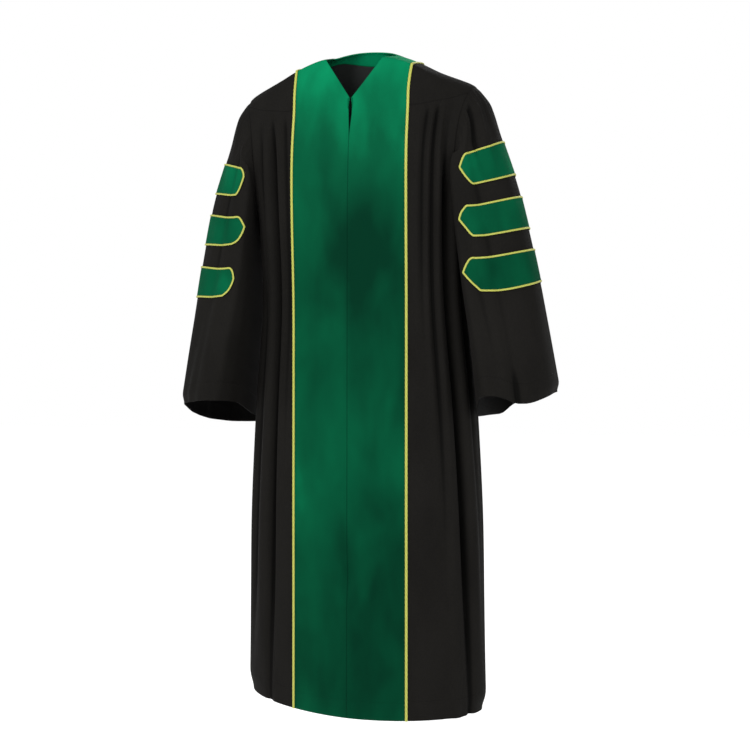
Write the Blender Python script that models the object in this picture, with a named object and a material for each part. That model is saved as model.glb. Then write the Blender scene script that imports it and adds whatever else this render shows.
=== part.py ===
# Doctoral graduation gown, worn by nobody and holding its hollow form.
# Metres, +Z up, the front faces -Y and the wearer's left is +X.
# The origin is midway between the two points where the neck meets the shoulders.

from collections import namedtuple
from math import cos, exp, pi, radians, sin

import bpy
import numpy as np

# Walls and clearances.
BLACK_WALL = 0.0015
VELVET_WALL = 0.0020
SEAM_TRIM = 0.00020
SLEEVE_CLEAR = 0.00035
CORD_END_TRIM = 0.0010
LAY_GAP = 0.0005
BAR_WALL = 0.0012
TAPE_WALL = 0.0010

# Gold cord on the velvet's edges.
CORD_HALF_WIDTH = 0.0027
CORD_HALF_HEIGHT = 0.0014
CORD_SIDES = 6
BAR_CORD_HALF_WIDTH = 0.0022
BAR_CORD_HALF_HEIGHT = 0.0011
BAR_CORD_SIDES = 5

# Velvet fronts and their closure.
VELVET_HALF_WIDTH = 0.1155
VELVET_SHOULDER_WIDTH = 0.121
VELVET_BAND_WIDTH = 0.030
SLIT_TOP_GAP = 0.0035
SLIT_LENGTH = 0.085
VENT_START = -1.06
VENT_GAP = 0.0016
TAPE_TOP = -0.20
TAPE_BOTTOM = -1.04

# Body rings below the yoke seam. side, front and back are the ring's heights there.
Ring = namedtuple("Ring", "side front back width fore aft square")
BODY_RINGS = (
    Ring(-0.100, -0.132, -0.140, 0.2290, 0.1000, 0.0980, 2.7),
    Ring(-0.200, -0.215, -0.218, 0.2180, 0.1130, 0.1120, 2.9),
    Ring(-0.330, -0.330, -0.330, 0.2135, 0.1180, 0.1180, 2.6),
    Ring(-0.500, -0.500, -0.500, 0.2140, 0.1190, 0.1200, 2.3),
    Ring(-0.700, -0.700, -0.700, 0.2290, 0.1200, 0.1220, 2.1),
    Ring(-0.900, -0.900, -0.900, 0.2400, 0.1210, 0.1240, 2.0),
    Ring(-1.100, -1.100, -1.100, 0.2460, 0.1220, 0.1270, 1.9),
    Ring(-1.304, -1.316, -1.308, 0.2515, 0.1240, 0.1300, 1.8),
)
ARMPIT_RING = 2

# Neck edge: a V in front, a shallow curve behind.
NECK_V = (0.000, -0.0985, -0.104)
NECK_CORNER = (0.059, -0.0765, -0.020)
NECK_CORNER_TURN = 60.0
NECK_SIDE = (0.067, 0.000, 0.003)
NECK_AFT = 0.058
NECK_BACK_HEIGHT = 0.030

# The yoke turns from nearly flat on top to upright at its seam.
YOKE_ARCH_SIDE = 1.25
YOKE_ARCH_FRONT = 2.1
YOKE_ARCH_BACK = 1.45

# Sleeve rings, keyed by the height of the outer edge. The first one is the armhole.
Cuff = namedtuple("Cuff", "outer outer_x inner inner_x front back fore aft inset")
SLEEVE_RINGS = (
    Cuff(-0.076, 0.2330, -0.330, 0.2140, -0.2050, -0.2050, 0.0760, 0.0800, 0.018),
    Cuff(-0.110, 0.2570, -0.345, 0.2158, -0.2155, -0.2180, 0.0860, 0.0880, 0.022),
    Cuff(-0.190, 0.2810, -0.385, 0.2190, -0.2285, -0.2340, 0.0940, 0.0980, 0.029),
    Cuff(-0.300, 0.3110, -0.440, 0.2225, -0.3280, -0.3340, 0.1020, 0.1080, 0.030),
    Cuff(-0.430, 0.3410, -0.515, 0.2280, -0.4530, -0.4620, 0.1100, 0.1180, 0.027),
    Cuff(-0.550, 0.3650, -0.600, 0.2360, -0.5670, -0.5820, 0.1200, 0.1300, 0.022),
    Cuff(-0.668, 0.3870, -0.732, 0.2460, -0.6860, -0.7080, 0.1300, 0.1450, 0.018),
)
SLEEVE_SQUARE = 2.3
SLEEVE_ROWS = (
    -0.076, -0.100, -0.145, -0.190, -0.2205, -0.251, -0.299, -0.330, -0.361,
    -0.401, -0.433, -0.465, -0.510, -0.555, -0.600, -0.637, -0.668,
)
BAR_ROWS = ((3, 4, 5), (6, 7, 8), (9, 10, 11))
YOKE_TURNS = (0.0, 12.0, 24.0, 35.0)
ARMHOLE_TURNS = (35.0, 47.0, 59.0, 71.0, 92.0, 110.0, 128.0, 146.0, 163.0, 180.0)
BAR_BACK_TURNS = (-71.0, -92.0)
BAR_FRONT_TURNS = {
    "left": ((71.0, 92.0), (71.0, 92.0), (71.0, 92.0)),
    "right": ((71.0, 92.0), (92.0, 110.0), (92.0, 110.0)),
}

# How the wearer's two sleeves differ as they hang.
Hang = namedtuple("Hang", "spread drop forward")
HANGS = {"left": Hang(0.010, 0.000, 1.6), "right": Hang(0.006, 0.048, 1.3)}

# The wearer's right shoulder sits a little higher and wider than the left one.
SHOULDER_RISE = 0.005
SHOULDER_SHIFT = 0.010
HEM_TILT = 0.006

# Folds of the body. top and hem are places round the ring in degrees from centre front,
# width is in degrees, depth is negative for a trough, start and full are heights.
Fold = namedtuple("Fold", "side top hem width depth start full")
FRONT_FOLDS = (
    Fold("left", 59.0, 62.0, 5.5, -0.0130, -0.120, -0.560),
    Fold("left", 50.0, 49.0, 5.0, 0.0040, -0.140, -0.500),
    Fold("left", 71.0, 73.0, 6.0, 0.0060, -0.330, -0.600),
    Fold("left", 82.0, 84.0, 4.0, -0.0060, -0.360, -0.800),
    Fold("right", 46.0, 45.0, 4.5, -0.0110, -0.120, -0.420),
    Fold("right", 38.0, 37.0, 4.0, 0.0040, -0.140, -0.500),
    Fold("right", 56.0, 55.0, 5.0, 0.0050, -0.140, -0.500),
    Fold("right", 67.0, 66.0, 5.0, -0.0090, -0.300, -0.600),
    Fold("right", 79.0, 79.0, 6.0, 0.0050, -0.360, -0.700),
)
BACK_FOLDS = (
    Fold("both", 180.0, 180.0, 5.0, -0.0070, -0.160, -0.450),
    Fold("both", 169.0, 170.0, 5.0, 0.0060, -0.160, -0.450),
    Fold("both", 157.0, 159.0, 5.0, -0.0090, -0.160, -0.420),
    Fold("both", 145.0, 147.0, 5.5, 0.0060, -0.160, -0.450),
    Fold("both", 133.0, 134.0, 5.5, -0.0100, -0.160, -0.420),
    Fold("both", 120.0, 120.0, 5.5, 0.0060, -0.240, -0.500),
    Fold("both", 107.0, 106.0, 5.0, -0.0070, -0.360, -0.600),
)

# Folds of the sleeves, round the ring in degrees from the outer edge, front positive.
SLEEVE_FOLDS = (
    Fold("both", 58.0, 62.0, 9.0, -0.0055, -0.110, -0.300),
    Fold("both", 20.0, 24.0, 9.0, 0.0030, -0.110, -0.300),
    Fold("both", -18.0, -20.0, 9.0, -0.0050, -0.110, -0.320),
    Fold("both", -62.0, -60.0, 10.0, 0.0040, -0.110, -0.300),
    Fold("both", 108.0, 104.0, 10.0, 0.0035, -0.150, -0.350),
    Fold("left", 30.0, 36.0, 8.0, -0.0120, -0.560, -0.668),
    Fold("both", -112.0, -108.0, 10.0, -0.0050, -0.150, -0.350),
)

# Columns of the front, back and velvet, and rows below the armpit.
VELVET_COLUMNS = (0.0, 0.13, 0.42, 0.72, 1.0)
FRONT_STEPS = 9
FRONT_FIXED_END = 60.0
FRONT_FIXED_STEPS = 6
BACK_FIXED_END = 118.0
BACK_FIXED_STEPS = 10
BACK_STEPS = 14
ROWS_BELOW_ARMPIT = 14
SHOULDER_ROWS = 6
BAND_STEPS = 8
YOKE_COLUMNS = (0.0, 0.25, 0.5, 0.76, 1.0)

COLOURS = {
    "black_cloth": ((0.012, 0.012, 0.013, 1.0), 0.80),
    "green_velvet": ((0.000, 0.105, 0.045, 1.0), 0.75),
    "gold_cord": ((0.600, 0.520, 0.060, 1.0), 0.45),
    "black_tape": ((0.010, 0.010, 0.011, 1.0), 0.70),
}


# Small helpers.

def hermite(table, keys, at, column):
    """Smooth value of one column of a table of rows at a place along its keys."""
    count = len(keys)
    place = int(np.clip(np.searchsorted(keys, at) - 1, 0, count - 2))
    values = [getattr(row, column) for row in table]

    def slope(i):
        low = max(i - 1, 0)
        high = min(i + 1, count - 1)
        return (values[high] - values[low]) / (keys[high] - keys[low])

    span = keys[place + 1] - keys[place]
    t = min(max((at - keys[place]) / span, 0.0), 1.0)
    start = values[place]
    end = values[place + 1]
    a = 2 * t ** 3 - 3 * t ** 2 + 1
    b = t ** 3 - 2 * t ** 2 + t
    c = -2 * t ** 3 + 3 * t ** 2
    d = t ** 3 - t ** 2
    return a * start + b * span * slope(place) + c * end + d * span * slope(place + 1)


def ease(low, high, value):
    t = min(max((value - low) / (high - low), 0.0), 1.0)
    return t * t * (3 - 2 * t)


def unit(vector):
    length = np.linalg.norm(vector, axis=-1, keepdims=True)
    return vector / np.maximum(length, 1e-12)


def power(value, exponent):
    return abs(value) ** exponent


# Body form.

RING_KEYS = [-i for i in range(len(BODY_RINGS))][::-1]
RING_TABLE = BODY_RINGS[::-1]


def ringValue(v, column):
    return hermite(RING_TABLE, RING_KEYS, -v, column)


def foldPush(folds, side, turn, height, hemHeight):
    """How far the folds move the cloth outward at a place round the ring."""
    push = 0.0
    for fold in folds:
        if fold.side not in (side, "both"):
            continue
        down = min(max((height - fold.start) / (hemHeight - fold.start), 0.0), 1.0)
        centre = fold.top + (fold.hem - fold.top) * down
        strength = ease(fold.start, fold.full, height)
        push += fold.depth * strength * exp(-((turn - centre) / fold.width) ** 2)
    return push


def bodyPoint(side, turn, v, edge=None):
    """Point on the body below the yoke seam. turn is 0 at centre front and 180 at centre back.

    The folds fade out towards the turn of an armhole edge."""
    s = sin(radians(turn))
    c = cos(radians(turn))
    n = ringValue(v, "square")
    width = ringValue(v, "width")
    depth = ringValue(v, "fore" if c >= 0 else "aft")
    x = width * s
    y = depth * max(1 - power(s, n), 0.0) ** (1 / n)
    level = ringValue(v, "side")
    end = ringValue(v, "front" if c >= 0 else "back")
    z = level + (end - level) * c * c
    if c >= 0:
        y = -y
    folds = FRONT_FOLDS if turn <= 90 else BACK_FOLDS
    push = foldPush(folds, side, turn, z, BODY_RINGS[-1].side)
    if edge is not None:
        push *= ease(0.0, 9.0, abs(turn - edge))
    out = unit(np.array([s * depth, -c * width, 0.0]))
    x += push * out[0]
    y += push * out[1]
    sign = 1 if side == "left" else -1
    return np.array([sign * x, y, z])


def pipingTurn(v):
    width = ringValue(v, "width")
    return np.degrees(np.arcsin(VELVET_HALF_WIDTH / width))


# Yoke form, between the neck edge (w = 0) and the yoke seam (w = 1).

def neckPoint(turn):
    low, corner, beside = np.array(NECK_V), np.array(NECK_CORNER), np.array(NECK_SIDE)
    if turn <= NECK_CORNER_TURN:
        return low + (corner - low) * turn / NECK_CORNER_TURN
    if turn <= 90.0:
        part = (turn - NECK_CORNER_TURN) / (90.0 - NECK_CORNER_TURN)
        return corner + (beside - corner) * np.array([1 - (1 - part) ** 2, part, part])
    s = sin(radians(turn))
    c = cos(radians(turn))
    x = beside[0] * power(s, 0.95)
    y = NECK_AFT * power(c, 0.95)
    z = beside[2] + (NECK_BACK_HEIGHT - beside[2]) * power(c, 1.3)
    return np.array([x, y, z])


def yokePoint(side, turn, w):
    c = cos(radians(turn))
    inner = neckPoint(turn)
    outer = bodyPoint("left", turn, 0.0)
    far = YOKE_ARCH_FRONT if c >= 0 else YOKE_ARCH_BACK
    arch = YOKE_ARCH_SIDE + (far - YOKE_ARCH_SIDE) * c * c
    phi = w * pi / 2
    across = power(sin(phi), 2 / arch)
    drop = 1 - power(cos(phi), 2 / arch)
    point = inner + (outer - inner) * np.array([across, across, drop])
    if side == "right":
        point[0] = -point[0]
    return point


def yokeAcross(turn, x):
    """The w at which the yoke's form reaches a distance x from the middle."""
    low, high = 0.0, 1.0
    for _ in range(30):
        middle = (low + high) / 2
        if yokePoint("left", turn, middle)[0] < x:
            low = middle
        else:
            high = middle
    return (low + high) / 2


# Armhole and sleeve form.

CUFF_KEYS = [row.outer for row in SLEEVE_RINGS][::-1]
CUFF_TABLE = SLEEVE_RINGS[::-1]


def sleevePoint(side, turn, outer):
    """Point on a sleeve. turn is 0 at the outer edge, 90 in front, 180 inside, -90 behind."""
    value = {name: hermite(CUFF_TABLE, CUFF_KEYS, outer, name) for name in Cuff._fields}
    s = sin(radians(turn))
    c = cos(radians(turn))
    across = np.sign(c) * power(c, 2 / SLEEVE_SQUARE)
    along = power(s, 2 / SLEEVE_SQUARE)
    front = s >= 0
    hang = HANGS[side]
    outerX = value["outer_x"] + hang.spread * ease(-0.08, -0.30, outer)
    middleX = (outerX + value["inner_x"]) / 2
    halfX = (outerX - value["inner_x"]) / 2
    level = value["front" if front else "back"]
    below = ease(-0.08, -0.19, outer)
    inset = value["inset"] * (1 + (hang.forward - 1) * below if front else 0.55)
    x = middleX + halfX * across - inset * s * s
    y = -value["fore"] * along if front else value["aft"] * along
    if across >= 0:
        z = outer + (level - outer) * (1 - across ** (1 + below))
    else:
        z = level + (value["inner"] - level) * power(across, 1.25 + 0.35 * below)
    share = (0.3 if front else 0.7) + (0.7 if front else 0.3) * max(across, 0.0)
    z -= hang.drop * share * ease(-0.42, -0.70, z)
    folds = SLEEVE_FOLDS
    push = foldPush(folds, side, turn, outer, SLEEVE_RINGS[-1].outer)
    out = unit(np.array([c, -s, 0.0]))
    x += push * out[0]
    y += push * out[1]
    sign = 1 if side == "left" else -1
    return np.array([sign * x, y, z])


def armholePoint(side, turn):
    return sleevePoint(side, turn, SLEEVE_RINGS[0].outer)


def ringAtHeight(turn, height):
    low, high = 0.0, float(ARMPIT_RING)
    for _ in range(30):
        middle = (low + high) / 2
        if bodyPoint("left", turn, middle)[2] > height:
            low = middle
        else:
            high = middle
    return (low + high) / 2


def armholeRows(front):
    """For each armhole turn: the ring and the turn of the body at which the panel ends."""
    rows = []
    for place, turn in enumerate(ARMHOLE_TURNS):
        point = armholePoint("left", turn if front else -turn)
        v = 0.0
        bodyTurn = 90.0
        for _ in range(12):
            n = ringValue(v, "square")
            depth = ringValue(v, "fore" if front else "aft")
            ratio = min(abs(point[1]) / depth, 0.999)
            s = max(1 - ratio ** n, 0.0) ** (1 / n)
            bodyTurn = np.degrees(np.arcsin(min(s, 1.0)))
            v = 0.0 if place == 0 else ringAtHeight(bodyTurn, point[2])
        if turn == ARMHOLE_TURNS[-1]:
            v = float(ARMPIT_RING)
            bodyTurn = 90.0
        rows.append((v, bodyTurn if front else 180.0 - bodyTurn))
    return rows


def bodyRows():
    """Rings of the rows below the armpit."""
    last = len(BODY_RINGS) - 1
    step = (last - ARMPIT_RING) / ROWS_BELOW_ARMPIT
    return [ARMPIT_RING + step * (i + 1) for i in range(ROWS_BELOW_ARMPIT)]


def panelTurns(start, fixedEnd, end, fixedSteps, steps):
    """Turns across a panel row: fixed places first, and the rest squeezed to its side edge."""
    turns = [start + (fixedEnd - start) * i / fixedSteps for i in range(fixedSteps + 1)]
    rest = steps - fixedSteps
    turns += [fixedEnd + (end - fixedEnd) * (i + 1) / rest for i in range(rest)]
    return turns


def panelGrid(side, front):
    """Points of a front, or of half of the back, from its inner edge to its side edge."""
    grid = []
    edge = armholeRows(front)
    for place, (v, end) in enumerate(edge):
        start = pipingTurn(v) if front else 180.0
        if front:
            fixedEnd = min(FRONT_FIXED_END, end - 2.0)
            turns = panelTurns(start, fixedEnd, end, FRONT_FIXED_STEPS, FRONT_STEPS)
        else:
            fixedEnd = max(BACK_FIXED_END, end + 2.0)
            turns = panelTurns(start, fixedEnd, end, BACK_FIXED_STEPS, BACK_STEPS)
        row = [bodyPoint(side, turn, v, end) for turn in turns]
        armTurn = ARMHOLE_TURNS[place]
        target = armholePoint(side, armTurn if front else -armTurn)
        shift = target - row[-1]
        first = len(row) - 1 - (4 if front else 5)
        for i in range(first + 1, len(row)):
            row[i] = row[i] + shift * ease(first, len(row) - 1, i)
        grid.append(row)
    for v in bodyRows():
        start = pipingTurn(v) if front else 180.0
        if front:
            turns = panelTurns(start, FRONT_FIXED_END, 90.0, FRONT_FIXED_STEPS, FRONT_STEPS)
        else:
            turns = panelTurns(start, BACK_FIXED_END, 90.0, BACK_FIXED_STEPS, BACK_STEPS)
        grid.append([bodyPoint(side, turn, v) for turn in turns])
    return np.array(grid)


def shoulderLine():
    """Places on the yoke's inner edge from the front seam to the crest, as (turn, w)."""
    places = []
    for i in range(SHOULDER_ROWS + 1):
        part = i / SHOULDER_ROWS
        turn = pipingTurn(0.0) + (90.0 - pipingTurn(0.0)) * part ** 0.85
        reach = VELVET_HALF_WIDTH + (VELVET_SHOULDER_WIDTH - VELVET_HALF_WIDTH) * part
        w = 1.0 if i == 0 else yokeAcross(turn, reach)
        places.append((turn, w))
    return places


def bandLine():
    """Places on the yoke's inner edge from the crest round to centre back, as (turn, w)."""
    places = []
    crest = shoulderLine()[-1][1]
    for i in range(1, BAND_STEPS + 1):
        part = i / BAND_STEPS
        turn = 90.0 + 90.0 * part
        inner = yokePoint("left", turn, 0.0)
        low, high = 0.0, 1.0
        for _ in range(30):
            middle = (low + high) / 2
            if np.linalg.norm(yokePoint("left", turn, middle) - inner) < VELVET_BAND_WIDTH:
                low = middle
            else:
                high = middle
        narrow = (low + high) / 2
        places.append((turn, narrow + (crest - narrow) * (1 - ease(0.0, 0.62, part))))
    return places


def yokeEdge():
    """Places of the yoke's rows on its inner edge, front seam to centre back, as (turn, w)."""
    line = np.array(shoulderLine() + bandLine())
    along = np.linspace(0, 1, len(line))
    crest = SHOULDER_ROWS / (len(line) - 1)
    crestRow = len(YOKE_TURNS) - 1
    last = 2 * crestRow + BACK_STEPS
    places = []
    for k in range(last + 1):
        if k <= crestRow:
            at = crest * k / crestRow
        else:
            at = crest + (1 - crest) * (k - crestRow) / (last - crestRow)
        places.append((np.interp(at, along, line[:, 0]), np.interp(at, along, line[:, 1])))
    return places


def yokeGrid(side, frontTop, backTop):
    """Points of half of the yoke, from the front seam over the shoulder to centre back.

    Each row runs from the velvet's edge outward, and ends on the armhole or on the back seam."""
    armTurns = list(YOKE_TURNS[::-1]) + [-turn for turn in YOKE_TURNS[1:]]
    outer = [armholePoint(side, turn) for turn in armTurns] + list(backTop[-2::-1])
    frontEnd = armholeRows(True)[0][1]
    backEnd = armholeRows(False)[0][1]
    arms = len(armTurns)
    outerTurns = [frontEnd + (backEnd - frontEnd) * i / (arms - 1) for i in range(arms)]
    seamTurns = panelTurns(180.0, BACK_FIXED_END, backEnd, BACK_FIXED_STEPS, BACK_STEPS)
    outerTurns += seamTurns[-2::-1]
    grid = []
    for k, (innerTurn, innerW) in enumerate(yokeEdge()):
        row = []
        for part in YOKE_COLUMNS:
            turn = innerTurn + (outerTurns[k] - innerTurn) * part
            row.append(yokePoint(side, turn, innerW + (1 - innerW) * part))
        shift = outer[k] - row[-1]
        for i, part in enumerate(YOKE_COLUMNS):
            row[i] = row[i] + shift * ease(0.15, 1.0, part)
        grid.append(row)
    count = len(frontTop) - 1
    grid[0] = [frontTop[round(part * count)] for part in YOKE_COLUMNS]
    return np.array(grid)


# Making solids from grids of points.

def gridNormals(points, closed):
    """Outward direction at each point of a grid of rows and columns."""
    down = np.gradient(points, axis=0)
    if closed:
        across = (np.roll(points, -1, axis=1) - np.roll(points, 1, axis=1)) / 2
    else:
        across = np.gradient(points, axis=1)
    return unit(np.cross(down, across))


def material(name):
    found = bpy.data.materials.get(name)
    if found:
        return found
    made = bpy.data.materials.new(name)
    made.use_nodes = True
    colour, roughness = COLOURS[name]
    shader = made.node_tree.nodes["Principled BSDF"]
    shader.inputs["Base Color"].default_value = colour
    shader.inputs["Roughness"].default_value = roughness
    made.diffuse_color = colour
    return made


def addSolid(name, points, faces, slot):
    mesh = bpy.data.meshes.new(name)
    mesh.from_pydata([tuple(point) for point in points], [], faces)
    mesh.update()
    volume = 0.0
    for face in mesh.polygons:
        corners = [mesh.vertices[i].co for i in face.vertices]
        for i in range(1, len(corners) - 1):
            volume += corners[0].dot(corners[i].cross(corners[i + 1]))
    if volume < 0:
        mesh.flip_normals()
    mesh.materials.append(material(slot))
    solid = bpy.data.objects.new(name, mesh)
    bpy.context.scene.collection.objects.link(solid)
    mesh.shade_smooth()
    return solid


def gridTriangles(rows, columns, closed, split=None):
    """Triangles of a grid. split says which diagonal divides the cell at a row and column."""
    triangles = []
    for i in range(rows - 1):
        for j in range(columns if closed else columns - 1):
            k = (j + 1) % columns
            a, b = i * columns + j, i * columns + k
            c, d = (i + 1) * columns + k, (i + 1) * columns + j
            if split is None or split(i, j):
                triangles += [(a, b, c), (a, c, d)]
            else:
                triangles += [(a, b, d), (b, c, d)]
    return triangles


def addPatch(name, points, normals, triangles, low, high, slot):
    """A wall over a patch of triangles, from low to high along the points' directions."""
    used = sorted({i for triangle in triangles for i in triangle})
    number = {old: new for new, old in enumerate(used)}
    count = len(used)
    top = [tuple(number[i] for i in triangle) for triangle in triangles]
    faces = list(top)
    faces += [(count + c, count + b, count + a) for a, b, c in top]
    edges = {edge for a, b, c in top for edge in ((a, b), (b, c), (c, a))}
    for a, b in sorted(edges):
        if (b, a) not in edges:
            faces += [(b, a, count + a), (b, count + a, count + b)]
    outer = points[used] + normals[used] * high
    inner = points[used] + normals[used] * low
    return addSolid(name, np.concatenate([outer, inner]), faces, slot)


def addWall(name, points, normals, low, high, slot, closed=False, split=None):
    rows, columns = points.shape[:2]
    triangles = gridTriangles(rows, columns, closed, split)
    return addPatch(name, points.reshape(-1, 3), normals.reshape(-1, 3), triangles, low, high, slot)


def addCord(name, line, normals, halfWidth, halfHeight, lift, sides, slot, closed=False):
    """A flattened cord that lies along a line of points, raised along their normals."""
    count = len(line)
    if closed:
        along = unit(np.roll(line, -1, axis=0) - np.roll(line, 1, axis=0))
    else:
        along = unit(np.gradient(line, axis=0))
    across = unit(np.cross(along, normals))
    up = unit(np.cross(across, along))
    points = []
    for i in range(count):
        centre = line[i] + normals[i] * lift
        for j in range(sides):
            angle = 2 * pi * (j + 0.5) / sides
            points.append(centre + across[i] * halfWidth * cos(angle) + up[i] * halfHeight * sin(angle))
    faces = []
    for i in range(count if closed else count - 1):
        for j in range(sides):
            k = (j + 1) % sides
            n = (i + 1) % count
            faces.append((i * sides + j, i * sides + k, n * sides + k, n * sides + j))
    if not closed:
        faces.append(tuple(range(sides))[::-1])
        faces.append(tuple((count - 1) * sides + j for j in range(sides)))
    return addSolid(name, np.array(points), faces, slot)


def trim(points, edges, amount=SEAM_TRIM):
    """Pulls the named edges of a grid back into the cloth, so that pieces clear at a seam."""
    moved = points.copy()
    if "top" in edges:
        moved[0] += unit(points[1] - points[0]) * amount
    if "bottom" in edges:
        moved[-1] += unit(points[-2] - points[-1]) * amount
    if "first" in edges:
        moved[:, 0] += unit(points[:, 1] - points[:, 0]) * amount
    if "last" in edges:
        moved[:, -1] += unit(points[:, -2] - points[:, -1]) * amount
    return moved


def meetNormals(grids, normals, closed, reach=0.0011):
    """Gives pieces that meet at a seam one direction there, so that their walls are mitred."""
    names, places = [], []
    for name, points in grids.items():
        rows, columns = points.shape[:2]
        for i, j in np.ndindex(rows, columns):
            if i in (0, rows - 1) or (not closed[name] and j in (0, columns - 1)):
                names.append(name)
                places.append((i, j))
    points = np.array([grids[name][place] for name, place in zip(names, places)])
    vectors = np.array([normals[name][place] for name, place in zip(names, places)])
    onSleeve = np.array([name.startswith("sleeve") for name in names])
    for index, (name, place) in enumerate(zip(names, places)):
        near = np.linalg.norm(points - points[index], axis=1) < reach
        body = unit(vectors[near & ~onSleeve].sum(axis=0))
        sleeve = unit(vectors[near & onSleeve].sum(axis=0))
        normals[name][place] = unit(body + sleeve)


# The pieces.

def frontGap(height):
    """Half of the gap between the two fronts at a height."""
    top = NECK_V[2]
    slit = SLIT_TOP_GAP * (1 - ease(0.0, 1.0, (top - height) / SLIT_LENGTH))
    vent = VENT_GAP * ease(0.0, 1.0, (VENT_START - height) / 0.12)
    return max(slit, vent, SEAM_TRIM)


def velvetGrid(side):
    """Points of a velvet front: shoulder rows from neck edge to piping, then rows down to the hem."""
    grid = []
    places = shoulderLine()[::-1]
    last = len(places) - 1
    for k, (turnOut, wOut) in enumerate(places[:-1]):
        turnIn = 90.0 * (1 - (k / (last - 1)) ** 0.9)
        row = []
        for part in VELVET_COLUMNS:
            turn = turnIn + (turnOut - turnIn) * part
            row.append(yokePoint(side, turn, wOut * part))
        grid.append(row)
    rings = [v for v, _ in armholeRows(True)] + bodyRows()
    for v in rings:
        grid.append([bodyPoint(side, pipingTurn(v) * part, v) for part in VELVET_COLUMNS])
    points = np.array(grid)
    sign = 1 if side == "left" else -1
    for i in range(last - 1, len(points)):
        points[i, 0, 0] += sign * frontGap(points[i, 0, 2])
    return points


def bandGrid():
    """Points of the neck band from the right shoulder round the back to the left shoulder."""
    half = []
    for turn, w in yokeEdge()[len(YOKE_TURNS) - 1:]:
        half.append([yokePoint("left", turn, w * part) for part in VELVET_COLUMNS])
    left = np.array(half)
    right = left.copy()
    right[:, :, 0] *= -1
    return np.concatenate([right, left[-2::-1]])


def flipped(grid):
    return grid[:, ::-1]


def sleeveTurns():
    front = list(YOKE_TURNS) + list(ARMHOLE_TURNS[1:])
    back = [-turn for turn in front[1:-1]][::-1]
    return front + back


def sleeveGrid(side):
    return np.array([[sleevePoint(side, turn, row) for turn in sleeveTurns()] for row in SLEEVE_ROWS])


def sleeveSplit(i, j):
    """The sleeve's diagonals run so that a bar's pointed ends follow whole triangles."""
    lower = any(i == rows[1] for rows in BAR_ROWS)
    front = j < sleeveTurns().index(180.0)
    return front != lower


def barPatch(side, number):
    """The sleeve's triangles under a bar, and the line round them, as point numbers."""
    turns = sleeveTurns()
    columns = len(turns)
    order = sorted(range(columns), key=lambda j: turns[j])
    rows = BAR_ROWS[number - 1]
    ends = list(zip(BAR_BACK_TURNS, BAR_FRONT_TURNS[side][number - 1]))
    short, long = [[j for j in order if low <= turns[j] <= high] for low, high in ends]
    top, middle, bottom = rows
    inside = {top * columns + j for j in short} | {bottom * columns + j for j in short}
    inside |= {middle * columns + j for j in long}
    every = gridTriangles(len(SLEEVE_ROWS), columns, True, sleeveSplit)
    triangles = [triangle for triangle in every if inside.issuperset(triangle)]
    outline = [top * columns + j for j in short] + [middle * columns + long[-1]]
    outline += [bottom * columns + j for j in short[::-1]] + [middle * columns + long[0]]
    return triangles, outline


def settle(points):
    """Lifts and widens the wearer's right shoulder and tilts the hem, for every piece alike."""
    moved = points.copy()
    for place in np.ndindex(points.shape[:-1]):
        x, _, z = points[place]
        high = 1 - ease(0.08, 0.22, -z)
        moved[place][2] += SHOULDER_RISE * high * ease(-0.03, 0.07, -x)
        moved[place][2] -= HEM_TILT * ease(0.95, 1.30, -z) * x / 0.25
        moved[place][0] -= SHOULDER_SHIFT * (1 - ease(0.25, 0.55, -z)) * ease(0.06, 0.20, -x)
    return moved


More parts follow.
